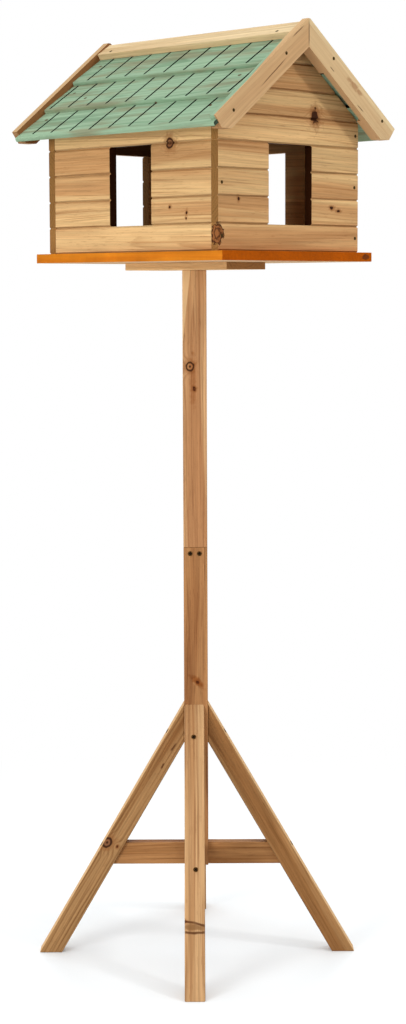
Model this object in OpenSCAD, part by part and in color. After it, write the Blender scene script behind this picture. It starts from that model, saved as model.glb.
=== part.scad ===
// Bird feeding house on a post with a four-legged stand.
// Millimetres, +Z up. The origin is on the ground below the middle of the house.
// The ridge runs along X and the front long wall faces -Y.

/* [Post] */
// Width of the square post
post_w = 40; // [30:1:60]
// Height of the post's top above the ground
post_top = 1158; // [900:1:1500]
// Height of the joint line on the post's front face
joint_z = 697; // [500:1:850]
// Length of the half-lap below the joint line
lap_len = 45; // [20:1:80]
// How far the post stands from the middle of the house, along the ridge
post_shift = 20; // [0:1:40]
// Turn of the stand from the front of the house
stand_turn = 45; // [0:1:90]

/* [Legs and braces] */
// How far the front leg sits to the left of the post's middle
front_leg_shift = 3; // [0:0.5:4]
// Width of the square legs
leg_w = 33; // [24:1:40]
// Height at which the upper edge of a leg meets the post
leg_top = 431; // [360:1:560]
// Reach of a foot from the post's centre line
foot_reach = 269; // [220:1:340]
// Height of the braces' undersides, where the post ends
brace_z = 153; // [100:1:200]
// Height of a brace
brace_h = 37; // [25:1:45]
// Thickness of a brace
brace_t = 21; // [15:1:33]

/* [Base] */
// Length of the block on the post, along the ridge
block_l = 238; // [160:1:300]
// Width of the block
block_w = 91; // [60:1:140]
// Thickness of the block
block_t = 12; // [8:1:25]
// Thickness of the platform
platform_t = 15; // [10:1:25]
// Overhang of the platform past the gable walls
platform_over_x = 20; // [5:1:40]
// Overhang of the platform past the long walls
platform_over_y = 12; // [5:1:30]

/* [Walls] */
// Length of the house over the gable walls
wall_l = 392; // [320:1:480]
// Width of the house over the long walls
wall_w = 326; // [260:1:400]
// Thickness of the wall boards
wall_t = 15; // [10:1:22]
// Height of one row of boards
row_h = 42; // [34:1:52]
// Width of the V joint between two rows
vee_w = 5; // [2:0.5:8]
// Depth of the V joint
vee_d = 3; // [1:0.5:5]

/* [Windows] */
// Width of the window in a long wall
long_window_w = 96; // [60:1:140]
// Width of the window in a gable wall
gable_window_w = 100; // [60:1:140]

/* [Roof] */
// Thickness of a roof course
course_t = 6.5; // [5:0.5:9]
// Part of each course that shows below the next one
exposure = 80.5; // [70:0.5:82]
// How far a course runs up under the next one
course_lap = 8; // [5:1:15]
// Distance down the slope from the walls' apex to the eave
eave_run = 259; // [250:1:275]
// Overhang of the roof courses past the gable walls
roof_over = 27; // [10:1:45]
// Distance down the slope from the walls' apex to the ridge boards' lower edge
ridge_run = 22.5; // [18:0.5:40]
// Thickness of the ridge boards
ridge_t = 11; // [8:0.5:14]
// Spacing of the saw kerfs in a course
kerf_pitch = 45.8; // [30:0.1:70]
// Width of a saw kerf
kerf_w = 2.6; // [1.5:0.1:4]
// Depth of a saw kerf
kerf_d = 2.6; // [1:0.1:3.5]
// Plain strip between the kerfs and the eave on the lowest course
eave_strip = 12; // [8:1:25]
// Plain strip below the kerfs on the upper courses
upper_strip = 5; // [3:1:15]
// Shift of the kerfs along the ridge
kerf_shift = 5; // [0:1:10]
// Gap between the front eave's ear and the bargeboard's lower end
ear_gap = 1.5; // [1:0.5:4]

/* [Bargeboards] */
// Width of a bargeboard
barge_w = 36; // [28:1:50]
// Thickness of a bargeboard
barge_t = 12; // [8:1:20]
// Height of its upper edge above the walls' slope
barge_rise = 20; // [14:1:24]
// Length of its upper edge
barge_len = 264; // [250:1:285]
// Square-cut part of its lower end
barge_cut = 23; // [10:1:26]
// Height of the mitre's point that is cut off level
barge_flat = 2; // [0:0.5:4]
// Thickness of the cleats behind it
cleat_t = 8; // [5:1:12]
// Length of the upper cleat, down the slope from the apex
cleat_len = 72; // [50:1:90]
// Distance down the slope from the apex to the lower cleat
cleat_low = 186; // [150:1:210]

/* [Fits] */
// Clearance between the roof courses and the walls below them
seat = 0.2; // [0.1:0.1:0.5]

/* [Hidden] */
$fn = 48;
// rows of boards up to the eaves, in the gable and beside a window
eave_rows = 5;
peak_rows = 3;
window_rows = 3;
// slope of the walls' gables and the tilt of the lapped courses on it
pitch = atan(peak_rows * row_h / (wall_w / 2));
tilt = asin(course_t / exposure);
course_len = exposure + course_lap;
course_run = course_len * cos(tilt);
courses = 3;
// heights of the platform, the walls' foot and their apex
block_z = post_top;
platform_z = block_z + block_t;
wall_z = platform_z + platform_t;
apex_z = wall_z + (eave_rows + peak_rows) * row_h;
platform_l = wall_l + 2 * platform_over_x;
platform_w = wall_w + 2 * platform_over_y;
roof_l = wall_l + 2 * roof_over;
// lean of a leg from the vertical and its cut against the post
lean = atan((foot_reach - post_w / 2) / leg_top);
leg_cut = leg_w / sin(lean);
leg_foot = leg_w / cos(lean);
post_z = brace_z;
// a span larger than the house, for cutting planes, and how far a saw cut runs past a face
far = 2 * (wall_l + wall_w);
past = kerf_d / 2;
// distance down the slope to the upper course's top edge and to the bargeboards' square ends
upper_run = eave_run - course_run - (courses - 1) * exposure;
barge_run = barge_len - barge_rise * tan(pitch);

fir = "#D9AE76";
fir_dark = "#B5875A";
fir_leg = "#A87B49";
green = "#9BB99B";
pale = "#DDBD96";
orange = "#CE7A25";

// Turns a front wall to another side: 0 front, 1 right gable, 2 rear, 3 left gable.
module on_side(side) {
    rotate([0, 0, 90 * side])
        children();
}

// Distance of a wall's outer face from the middle of the house.
function wall_out(gable) = gable ? wall_l / 2 : wall_w / 2;
// Half length of a wall's boards: the long walls stand between the gable walls.
function wall_end(gable) = gable ? wall_w / 2 : wall_l / 2 - wall_t;
function half_window(gable) = (gable ? gable_window_w : long_window_w) / 2;

// One wall board along X with its outer face at y = 0 and a half V on both outer edges.
module wall_board(length, height) {
    rotate([90, 0, 90])
        linear_extrude(length)
            polygon([
                [vee_d, 0], [0, vee_w / 2], [0, height - vee_w / 2], [vee_d, height],
                [wall_t, height], [wall_t, 0]
            ]);
}

// Boards of a front wall between two places along it, one for each row.
module wall_rows(gable, from_x, to_x, first_row, rows) {
    for (row = [first_row : first_row + rows - 1])
        translate([from_x, -wall_out(gable), wall_z + row * row_h])
            wall_board(to_x - from_x, row_h);
}

// Full-width board below the window.
module sill_board(side) {
    gable = side % 2 == 1;
    color(fir)
        on_side(side)
            wall_rows(gable, -wall_end(gable), wall_end(gable), 0, 1);
}

// Short boards beside the window, seen from outside: hand -1 is the left side.
module jamb(side, hand) {
    gable = side % 2 == 1;
    inner = half_window(gable);
    outer = wall_end(gable);
    color(fir)
        on_side(side)
            wall_rows(gable, hand < 0 ? -outer : inner, hand < 0 ? -inner : outer, 1, window_rows);
}

// Full-width board over a gable window.
module gable_head_board(side) {
    color(fir)
        on_side(side)
            wall_rows(true, -wall_end(true), wall_end(true), eave_rows - 1, 1);
}

// Board over a long wall's window, bevelled on top to carry the lowest roof course.
module long_head_board(side) {
    front = side == 0;
    color(fir)
        difference() {
            on_side(side)
                translate([-wall_end(false), -wall_out(false), wall_z + (eave_rows - 1) * row_h])
                    wall_board(2 * wall_end(false), 2 * row_h);
            on_slope(front)
                course_place(0)
                    translate([-far / 2, -far / 2, -seat])
                        cube(far);
        }
}

// The gable's upper rows, cut to the slope of the roof.
module gable_peak(side) {
    color(fir)
        on_side(side)
            intersection() {
                wall_rows(true, -wall_end(true), wall_end(true), eave_rows, peak_rows);
                rotate([90, 0, 0])
                    linear_extrude(far)
                        polygon([
                            [0, apex_z], [far, apex_z - far * tan(pitch)], [-far, apex_z - far * tan(pitch)]
                        ]);
            }
}

// Local frame of a roof slope: Y runs down the slope from the walls' apex and Z stands off it.
module on_slope(front) {
    translate([0, 0, apex_z])
        rotate([-pitch, 0, front ? 180 : 0])
            children();
}

// Place of a lapped course, counted up from the eave, at the upper end of its underside.
module course_place(course) {
    translate([0, eave_run - course_run - course * exposure, seat])
        rotate([tilt, 0, 0])
            children();
}

// Saw kerfs down the face of a course, staggered on every second one.
module kerfs(course) {
    count = floor(roof_l / kerf_pitch) + course % 2;
    stop = course_len - (course == 0 ? eave_strip : upper_strip);
    for (i = [0 : count - 1])
        translate([(i - (count - 1) / 2) * kerf_pitch + kerf_shift, 0, course_t - kerf_d]) {
            translate([-kerf_w / 2, -past, 0])
                cube([kerf_w, stop + past, kerf_d + past]);
            translate([0, stop, 0])
                cylinder(d = kerf_w, h = kerf_d + past);
        }
}

// Outline of a lapped course. An eared one runs past the bargeboard's lower end on the right.
module course_outline(eared) {
    ear_top = course_len - (eave_run - barge_run) / cos(tilt) + ear_gap;
    ear_end = roof_l / 2 + barge_t;
    if (eared)
        polygon([
            [-roof_l / 2, 0], [roof_l / 2, 0], [roof_l / 2, course_len], [-ear_end, course_len],
            [-ear_end, ear_top], [-roof_l / 2, ear_top]
        ]);
    else
        translate([-roof_l / 2, 0])
            square([roof_l, course_len]);
}

module roof_course(front, course) {
    color(green)
        on_slope(front)
            course_place(course)
                difference() {
                    linear_extrude(course_t)
                        course_outline(front && course == 0);
                    kerfs(course);
                }
}

// Board along the ridge, flat on the top course and cut plumb where the two slopes meet.
module ridge_board(front) {
    color(pale)
        intersection() {
            on_slope(front)
                course_place(courses - 1)
                    translate([-roof_l / 2, -course_len, course_t])
                        cube([roof_l, course_len + (ridge_run - upper_run) / cos(tilt), ridge_t]);
            translate([-far / 2, front ? -far : 0, 0])
                cube([far, far, 2 * apex_z]);
        }
}

// A point of the rear slope's side view: down the slope from the walls' apex and standing off it.
function at_slope(down, off) =
    [down * cos(pitch) + off * sin(pitch), apex_z - down * sin(pitch) + off * cos(pitch)];

// Outline of a bargeboard on the rear slope: plumb at the apex, square and then level at the foot.
module barge_outline() {
    top = apex_z + barge_rise / cos(pitch);
    bottom = top - barge_w / cos(pitch);
    tip = at_slope(barge_run, barge_rise);
    heel = at_slope(barge_run, barge_rise - barge_cut);
    level = [(bottom - heel[1]) / tan(pitch), heel[1]];
    polygon([
        [0, top - barge_flat], [barge_flat / tan(pitch), top - barge_flat], tip, heel, level, [0, bottom]
    ]);
}

// Outline of the cleats behind a bargeboard, below the roof courses.
module cleat_outline() {
    intersection() {
        barge_outline();
        union() {
            polygon([
                [0, apex_z - seat / cos(pitch)], at_slope(cleat_len, -seat), at_slope(cleat_len, -barge_w),
                [0, apex_z - far]
            ]);
            polygon([
                at_slope(cleat_low, -seat), at_slope(barge_run, -seat), at_slope(barge_run, -barge_w),
                at_slope(cleat_low, -barge_w)
            ]);
        }
    }
}

// Bargeboard with its cleats on the inner side.
module bargeboard(right, front) {
    color(pale)
        mirror([right ? 0 : 1, 0, 0])
            mirror([0, front ? 1 : 0, 0])
                translate([roof_l / 2, 0, 0])
                    rotate([90, 0, 90]) {
                        linear_extrude(barge_t)
                            barge_outline();
                        translate([0, 0, -cleat_t])
                            linear_extrude(cleat_t + barge_t / 2)
                                cleat_outline();
                    }
}

module platform() {
    color(orange)
        translate([-platform_l / 2, -platform_w / 2, platform_z])
            cube([platform_l, platform_w, platform_t]);
}

module post_block() {
    color(pale)
        translate([-post_shift - block_l / 2, -block_w / 2, block_z])
            cube([block_l, block_w, block_t]);
}

// Local frame of the stand: X points from the post to the leg, 0 front, 1 right, 2 rear, 3 left.
module on_stand(leg) {
    translate([-post_shift, 0, 0])
        rotate([0, 0, stand_turn - 90 + 90 * leg])
            children();
}

module upper_post() {
    color(fir_dark)
        on_stand(0) {
            translate([-post_w / 2, -post_w / 2, joint_z])
                cube([post_w, post_w, post_top - joint_z]);
            translate([-post_w / 2, -post_w / 2, joint_z - lap_len])
                cube([post_w / 2, post_w, lap_len]);
        }
}

module lower_post() {
    color(fir_dark)
        on_stand(0) {
            translate([-post_w / 2, -post_w / 2, post_z])
                cube([post_w, post_w, joint_z - lap_len - post_z]);
            translate([0, -post_w / 2, joint_z - lap_len])
                cube([post_w / 2, post_w, lap_len]);
        }
}

// Leaning leg, cut plumb against the post and level at the foot.
module leg(number) {
    color(fir_leg)
        on_stand(number)
            translate([0, leg_w / 2 - (number == 0 ? front_leg_shift : 0), 0])
                rotate([90, 0, 0])
                    linear_extrude(leg_w)
                        polygon([
                            [post_w / 2, leg_top], [foot_reach, 0],
                            [foot_reach - leg_foot, 0], [post_w / 2, leg_top - leg_cut]
                        ]);
}

// Level brace from the post to the leg's inner face.
module brace(number) {
    inner = leg_top - leg_cut;
    low = post_w / 2 + (inner - brace_z) * tan(lean);
    high = post_w / 2 + (inner - brace_z - brace_h) * tan(lean);
    color(fir_leg)
        on_stand(number)
            translate([0, brace_t / 2, brace_z])
                rotate([90, 0, 0])
                    linear_extrude(brace_t)
                        polygon([[post_w / 2, 0], [low, 0], [high, brace_h], [post_w / 2, brace_h]]);
}

sill_board(0);  // front_sill_board
jamb(0, -1);  // front_left_jamb
jamb(0, 1);  // front_right_jamb
long_head_board(0);  // front_head_board
sill_board(2);  // rear_sill_board
jamb(2, -1);  // rear_left_jamb
jamb(2, 1);  // rear_right_jamb
long_head_board(2);  // rear_head_board
sill_board(1);  // right_gable_sill_board
jamb(1, -1);  // right_gable_left_jamb
jamb(1, 1);  // right_gable_right_jamb
gable_head_board(1);  // right_gable_head_board
gable_peak(1);  // right_gable_peak
sill_board(3);  // left_gable_sill_board
jamb(3, -1);  // left_gable_left_jamb
jamb(3, 1);  // left_gable_right_jamb
gable_head_board(3);  // left_gable_head_board
gable_peak(3);  // left_gable_peak
roof_course(true, 0);  // front_lower_course
roof_course(true, 1);  // front_middle_course
roof_course(true, 2);  // front_upper_course
ridge_board(true);  // front_ridge_board
roof_course(false, 0);  // rear_lower_course
roof_course(false, 1);  // rear_middle_course
roof_course(false, 2);  // rear_upper_course
ridge_board(false);  // rear_ridge_board
bargeboard(true, true);  // right_front_bargeboard
bargeboard(true, false);  // right_rear_bargeboard
bargeboard(false, true);  // left_front_bargeboard
bargeboard(false, false);  // left_rear_bargeboard
platform();
post_block();
upper_post();
lower_post();
leg(0);  // front_leg
leg(1);  // right_leg
leg(2);  // rear_leg
leg(3);  // left_leg
brace(0);  // front_brace
brace(1);  // right_brace
brace(2);  // rear_brace
brace(3);  // left_brace
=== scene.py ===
"""Bird feeding house on a four-legged stand: timber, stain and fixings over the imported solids."""
import functools
import math
import random

import bmesh
import bpy
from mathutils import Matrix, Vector


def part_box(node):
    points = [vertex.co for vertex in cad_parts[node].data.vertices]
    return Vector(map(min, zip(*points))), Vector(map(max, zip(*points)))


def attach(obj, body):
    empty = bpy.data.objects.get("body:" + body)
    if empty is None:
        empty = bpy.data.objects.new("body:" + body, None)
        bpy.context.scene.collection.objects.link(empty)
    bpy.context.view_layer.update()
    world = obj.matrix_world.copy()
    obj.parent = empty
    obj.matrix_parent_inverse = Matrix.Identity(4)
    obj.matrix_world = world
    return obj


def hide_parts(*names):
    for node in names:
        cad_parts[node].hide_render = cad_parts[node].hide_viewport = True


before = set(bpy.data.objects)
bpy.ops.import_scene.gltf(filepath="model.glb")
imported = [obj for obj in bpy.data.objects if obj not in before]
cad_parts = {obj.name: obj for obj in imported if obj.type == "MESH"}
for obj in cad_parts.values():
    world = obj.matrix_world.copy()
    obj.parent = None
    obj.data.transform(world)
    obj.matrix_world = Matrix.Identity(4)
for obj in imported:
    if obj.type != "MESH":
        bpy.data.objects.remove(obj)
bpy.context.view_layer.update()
scene = bpy.context.scene

# Post: two square lengths of reddish fir, planed on four sides and joined end to end by a half lap.
# The long edges are eased with a block plane. The rings run straight up, round a sound knot and two
# small dark ones, and a wedge of pale sapwood shows along one edge of the upper length.
POST_EASE = 0.0011
UPPER_POST = (206, 163, 116), (176, 126, 84), (136, 86, 52)
LOWER_POST = (178, 128, 82), (150, 98, 58), (118, 70, 38)
POST_EDGE = (234, 196, 146)
POST_RING = 0.0052
RING_DEPTH = 0.5
NOISE_ROUGHNESS = 0.55
END_WOOD = (142, 101, 55)
KNOT_DARK = (62, 34, 18)
KNOT_RED = (134, 78, 44)
RING_DARK = (50, 26, 13)
KNOT_HALO = (150, 94, 52)
KNOT_TAN = (186, 130, 84)
FLARE = (220, 192, 162)
# Painted shade: the colour that marked wall faces take where shade falls.
PAINTED_SHADE = (50, 22, 4)
UP = Vector((0, 0, 1))
POST_FACING = Vector((1, -1, 0)).normalized()
POST_BESIDE = UP.cross(POST_FACING)
post_low, post_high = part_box("lower_post")
post_axis = Vector(((post_low.x + post_high.x) / 2, (post_low.y + post_high.y) / 2, 0))
post_half = (post_high.x - post_low.x) / (2 * math.sqrt(2))


def tint(colour):
    """Linear colour from one written as it looks on a screen, 0 to 255."""
    parts = [part / 255 for part in colour]
    return tuple(p / 12.92 if p <= 0.04045 else ((p + 0.055) / 1.055) ** 2.4 for p in parts) + (1.0,)


def add(tree, kind, *inputs, **settings):
    """One shader node. Each input is a socket to link, a value to set, or None to leave as it is."""
    made = tree.nodes.new("ShaderNode" + kind)
    for key, value in settings.items():
        setattr(made, key, value)
    for socket, value in zip(made.inputs, inputs):
        if isinstance(value, bpy.types.NodeSocket):
            tree.links.new(value, socket)
        elif value is not None:
            socket.default_value = value
    return made.outputs


def sums(tree, operation, *inputs):
    """The result of one Math node."""
    return add(tree, "Math", *inputs, operation=operation)[0]


def linear(tree, value, times, plus):
    """A value times a second one, plus a third."""
    return sums(tree, "MULTIPLY_ADD", value, times, plus)


def gap(tree, first, second):
    """How far apart two values are."""
    return sums(tree, "ABSOLUTE", sums(tree, "SUBTRACT", first, second))


def ramp(tree, value, start, end, low=0.0, high=1.0):
    """A smooth step of a value between two limits."""
    return add(tree, "MapRange", value, start, end, low, high, interpolation_type="SMOOTHSTEP")[0]


def mixed(tree, share, first, second, **settings):
    """The first of two colours with a share of the second over it."""
    return add(tree, "MixRGB", share, first, second, **settings)[0]


def painted(tree, colour, over, mask, share=1.0, **settings):
    """A colour with another one, written as it looks on a screen, over it where the mask is."""
    if share < 1.0:
        mask = sums(tree, "MULTIPLY", mask, share)
    return mixed(tree, mask, colour, tint(over), **settings)


def scaled(tree, value, level):
    """A colour or a vector times a level."""
    return add(tree, "VectorMath", value, None, None, level, operation="SCALE")[0]


def reach_along(tree, place, way):
    """How far a place lies along a way."""
    return add(tree, "VectorMath", place, way, operation="DOT_PRODUCT")[1]


def place_on(tree):
    """The place on the piece, in metres."""
    return add(tree, "TexCoord")[3]


def stretched_noise(tree, place, scale, detail=2.0):
    """Noise drawn out along the grain: its features per metre along the grain and across it."""
    along, across = scale
    spread = add(tree, "VectorMath", place, (along, across, across), operation="MULTIPLY")[0]
    return add(tree, "TexNoise", spread, None, 1.0, detail, NOISE_ROUGHNESS)[0]


def new_group(name, inputs, outputs):
    """An empty shader group with named sockets, and the sockets of its two ends."""
    tree = bpy.data.node_groups.new(name, "ShaderNodeTree")
    for label, kind in inputs.items():
        tree.interface.new_socket(label, in_out="INPUT", socket_type="NodeSocket" + kind)
    for label, kind in outputs.items():
        tree.interface.new_socket(label, in_out="OUTPUT", socket_type="NodeSocket" + kind)
    return tree, tree.nodes.new("NodeGroupInput").outputs, tree.nodes.new("NodeGroupOutput").inputs


def give(tree, gives, results):
    """Joins a group's results to its named outputs."""
    for label, result in results.items():
        tree.links.new(result, gives[label])


def use(tree, shared, values):
    """A shader group placed in a material with its own values."""
    made = tree.nodes.new("ShaderNodeGroup")
    made.node_tree = shared
    for label, value in values.items():
        if isinstance(value, bpy.types.NodeSocket):
            tree.links.new(value, made.inputs[label])
        else:
            made.inputs[label].default_value = value
    return made.outputs


RING_WANDER, WANDER_REACH = (2.6, 15.0), 0.02
RING_RIPPLE, RIPPLE_REACH = (9.0, 90.0), 0.004
FAINT_YEARS = 4.0, 45.0
HEART_BANDS = 1.1, 30.0
STREAKS = 3.0, 210.0
FIBRES = 9.0, 640.0
FLECKS = 50.0, 800.0
THREADS = 2.2, 330.0
SPRING_END = 0.3
LATE_PEAK = 0.9
EVEN_LEVEL = 1.03
FAINT_SPAN = 0.38, 0.62, 0.25, 1.0
HEART_SPAN = 0.4, 0.6
FLECK_SPAN, FLECK_SHARE = (0.62, 0.72), 0.4
THREAD_SPAN, THREAD_SHARE = (0.56, 0.68), 0.5
YEAR_SPREAD = 0.8
FIBRE_LEVEL, STREAK_LEVEL, LEAST_LEVEL = 0.56, 0.66, 0.42
TONE_BAND, TONE_LEVEL = 0.07, 0.08
END_LEVEL, END_TONE, END_LATE, END_FIBRE = 0.74, 0.2, -0.35, 0.6
ROUGH_LEAST, ROUGH_SPREAD = 0.5, 0.2
LATE_RIDGE = 0.6
fir, given, gives = new_group(
    "fir_board",
    {"Grain": "Vector", "Marks": "Vector", "Sapwood": "Color", "Heartwood": "Color", "Latewood": "Color",
     "Endwood": "Color", "Ring gap": "Float", "Ring depth": "Float", "Bend": "Float", "Contrast": "Float"},
    {"Colour": "Color", "Roughness": "Float", "Height": "Float", "Late": "Float", "Streak": "Float"})
grain = given["Grain"]
tone, end_face = add(fir, "SeparateXYZ", given["Marks"])[:2]
cross = add(fir, "VectorMath", grain, (0.0, 1.0, 1.0), operation="MULTIPLY")[0]
from_pith = add(fir, "VectorMath", cross, operation="LENGTH")[1]
wander = stretched_noise(fir, grain, RING_WANDER)
wander = linear(fir, wander, WANDER_REACH, -WANDER_REACH / 2)
ripple = stretched_noise(fir, grain, RING_RIPPLE)
ripple = linear(fir, ripple, RIPPLE_REACH, -RIPPLE_REACH / 2)
strayed = sums(fir, "ADD", sums(fir, "ADD", wander, ripple), given["Bend"])
turns = sums(fir, "DIVIDE", sums(fir, "ADD", from_pith, strayed), given["Ring gap"])
season = sums(fir, "FRACT", turns)
year = add(fir, "TexWhiteNoise", None, sums(fir, "FLOOR", turns), noise_dimensions="1D")[0]
late_rise = ramp(fir, season, SPRING_END, LATE_PEAK)
late_fall = ramp(fir, season, LATE_PEAK, 1.0, 1.0, 0.0)
faint = ramp(fir, stretched_noise(fir, grain, FAINT_YEARS), *FAINT_SPAN)
year_strength = linear(fir, year, YEAR_SPREAD, 1 - YEAR_SPREAD)
late_strength = sums(fir, "MULTIPLY", year_strength, faint)
late = sums(fir, "MULTIPLY", sums(fir, "MULTIPLY", late_rise, late_fall), late_strength)
band = linear(fir, tone, TONE_BAND, stretched_noise(fir, grain, HEART_BANDS))
heart = ramp(fir, band, *HEART_SPAN)
streak = stretched_noise(fir, grain, STREAKS, 3.0)
fibre = stretched_noise(fir, grain, FIBRES)
fleck = ramp(fir, stretched_noise(fir, grain, FLECKS), *FLECK_SPAN)
thread = ramp(fir, stretched_noise(fir, grain, THREADS), *THREAD_SPAN)
body = mixed(fir, heart, given["Sapwood"], given["Heartwood"])
ring_share = sums(fir, "MULTIPLY", late, given["Ring depth"])
ringed = mixed(fir, ring_share, body, given["Latewood"])
fleck_share = sums(fir, "MULTIPLY", fleck, FLECK_SHARE)
dark_share = linear(fir, thread, THREAD_SHARE, fleck_share)
dark_share = sums(fir, "MULTIPLY", dark_share, given["Contrast"])
flecked = mixed(fir, dark_share, ringed, given["Latewood"])
streak_level = linear(fir, streak, STREAK_LEVEL, LEAST_LEVEL)
fibre_level = linear(fir, fibre, FIBRE_LEVEL, streak_level)
uneven = sums(fir, "SUBTRACT", fibre_level, EVEN_LEVEL)
uneven = sums(fir, "MULTIPLY", uneven, given["Contrast"])
board_level = linear(fir, tone, TONE_LEVEL, EVEN_LEVEL)
toned = scaled(fir, flecked, sums(fir, "ADD", uneven, board_level))
end_tone = linear(fir, tone, END_TONE, END_LEVEL)
end_rings = linear(fir, late, END_LATE, end_tone)
end_cut = scaled(fir, given["Endwood"], linear(fir, fibre, END_FIBRE, end_rings))
give(fir, gives, {
    "Colour": mixed(fir, end_face, toned, end_cut),
    "Roughness": linear(fir, fibre, ROUGH_SPREAD, ROUGH_LEAST),
    "Height": sums(fir, "SUBTRACT", linear(fir, late, LATE_RIDGE, fibre), fleck),
    "Late": late,
    "Streak": streak,
})

KNOT_UNEVEN = 150.0
KNOT_RINGS = 2.3
SMOOTH_EDGE = 0.4, 0.8
RAGGED_EDGE = 1.5, 0.25
CORE_SPAN = 1.0, 0.7
HALO_SPAN = 2.2, 0.8
BEND_SPAN, SWERVE = (3.2, 0.6), 1.1
RING_SPAN = 0.32, 0.12
knot, given, gives = new_group(
    "knot", {"At": "Vector", "Centre": "Vector", "Run": "Vector", "Radius": "Float", "Stretch": "Float"},
    dict.fromkeys(("Core", "Halo", "Bend", "Rings", "Share", "Ragged"), "Float"))
offset = add(knot, "VectorMath", given["At"], given["Centre"], operation="SUBTRACT")[0]
along = reach_along(knot, offset, given["Run"])
beside = sums(knot, "SUBTRACT", reach_along(knot, offset, offset), sums(knot, "MULTIPLY", along, along))
drawn = sums(knot, "DIVIDE", along, given["Stretch"])
reach = sums(knot, "SQRT", sums(knot, "MAXIMUM", linear(knot, drawn, drawn, beside), 0.0))
share = sums(knot, "DIVIDE", reach, given["Radius"])
uneven = add(knot, "TexNoise", given["At"], None, KNOT_UNEVEN, 2.0, NOISE_ROUGHNESS)[0]
smooth = sums(knot, "MULTIPLY", share, linear(knot, uneven, *SMOOTH_EDGE))
ragged = sums(knot, "MULTIPLY", share, linear(knot, uneven, *RAGGED_EDGE))
in_ring = sums(knot, "FRACT", sums(knot, "MULTIPLY", ragged, KNOT_RINGS))
from_line = gap(knot, in_ring, 0.5)
swerve = sums(knot, "MULTIPLY", given["Radius"], SWERVE)
give(knot, gives, {
    "Core": ramp(knot, ragged, *CORE_SPAN),
    "Halo": ramp(knot, ragged, *HALO_SPAN),
    "Bend": sums(knot, "MULTIPLY", ramp(knot, share, *BEND_SPAN), swerve),
    "Rings": ramp(knot, from_line, *RING_SPAN),
    "Share": smooth,
    "Ragged": ragged,
})


def knot_in(tree, spec):
    """One knot placed in a material, from its centre in metres, radius, stretch and run."""
    values = dict(zip(("Centre", "Radius", "Stretch", "Run"), spec))
    return use(tree, knot, {"At": place_on(tree), **values})


def joined(tree, operation, knots, label):
    """One output of several knots, joined two at a time."""
    return functools.reduce(functools.partial(sums, tree, operation), [one[label] for one in knots])


EYE_RING = 0.8
EYE_LINE = 0.3, 0.1
EYE_PITH = 0.36, 0.14
EYE_HALO_SHARE, EYE_WOOD_SHARE, EYE_DARK_SHARE = 0.6, 0.7, 0.9
KNOT_HALO_SHARE, KNOT_RED_SHARE = 0.7, 0.8


def eyed(tree, colour, one, middle):
    """A colour with a sound knot: a reddish halo, a plain middle, a dark ring and a dark pith."""
    colour = painted(tree, colour, KNOT_HALO, one["Halo"], EYE_HALO_SHARE)
    colour = painted(tree, colour, middle, ramp(tree, one["Share"], 1.0, EYE_RING), EYE_WOOD_SHARE)
    from_ring = gap(tree, one["Share"], EYE_RING)
    pith = ramp(tree, one["Share"], *EYE_PITH)
    dark = sums(tree, "MAXIMUM", ramp(tree, from_ring, *EYE_LINE), pith)
    return painted(tree, colour, RING_DARK, dark, EYE_DARK_SHARE)


def marks_of(tree):
    """A piece's marks: each board's tone, which faces are cut ends, and which faces take another colour,
    such as bare wood, painted shade or painted light.
    """
    return add(tree, "SeparateXYZ", add(tree, "Attribute", attribute_name="marks")[1])


def timber(name, woods, ring_gap, ring_depth, knots=(), eyes=(), eye_wood=KNOT_TAN, end_wood=END_WOOD,
           shade=PAINTED_SHADE, contrast=1.0):
    """A planed fir material from its sapwood, heartwood and latewood colours.

    Each dark knot or sound eye is its centre in metres, radius, stretch and the board's run.
    Marked faces take the shade colour: painted shade on the walls and on the bargeboards' undersides and
    upper edges, the darker inner sides of the bargeboards, and painted light on the side legs' upper faces.
    The contrast is that of the streaks along the grain.
    """
    material = bpy.data.materials.new(name)
    material.use_nodes = True
    tree = material.node_tree
    values = {label: add(tree, "Attribute", attribute_name=label.lower())[1] for label in ("Grain", "Marks")}
    labels = ("Sapwood", "Heartwood", "Latewood", "Endwood")
    values.update(zip(labels, [tint(wood) for wood in (*woods, end_wood)]))
    values.update({"Ring gap": ring_gap, "Ring depth": ring_depth, "Contrast": contrast})
    dark = [knot_in(tree, spec) for spec in knots]
    sound = [knot_in(tree, spec) for spec in eyes]
    if dark or sound:
        values["Bend"] = joined(tree, "ADD", dark + sound, "Bend")
    wood = use(tree, fir, values)
    colour = wood["Colour"]
    if dark:
        halo = joined(tree, "MAXIMUM", dark, "Halo")
        colour = painted(tree, colour, KNOT_HALO, halo, KNOT_HALO_SHARE)
        rings = joined(tree, "MULTIPLY", dark, "Rings")
        heart = painted(tree, tint(KNOT_DARK), KNOT_RED, rings, KNOT_RED_SHARE)
        colour = mixed(tree, joined(tree, "MAXIMUM", dark, "Core"), colour, heart)
    for one in sound:
        colour = eyed(tree, colour, one, eye_wood)
    if shade:
        colour = painted(tree, colour, shade, marks_of(tree)[2])
    return material, tree, wood, colour


DULL = 0.05
GRAIN_DEPTH = 0.0004
BUMP = 0.5


def varnish(tree, colour, surface, depth=GRAIN_DEPTH):
    """Joins a colour and a surface's roughness and bump height to the material's own shader."""
    shader = tree.nodes["Principled BSDF"]
    shader.inputs["Specular IOR Level"].default_value = DULL
    tree.links.new(colour, shader.inputs["Base Color"])
    tree.links.new(surface["Roughness"], shader.inputs["Roughness"])
    bump = tree.nodes.new("ShaderNodeBump")
    bump.inputs["Strength"].default_value = BUMP
    bump.inputs["Distance"].default_value = depth
    tree.links.new(surface["Height"], bump.inputs["Height"])
    tree.links.new(bump.outputs["Normal"], shader.inputs["Normal"])


WELD = 0.00001
FLAT = math.radians(1)
SHARP = math.radians(60)
SHORTEST = 0.004


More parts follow.
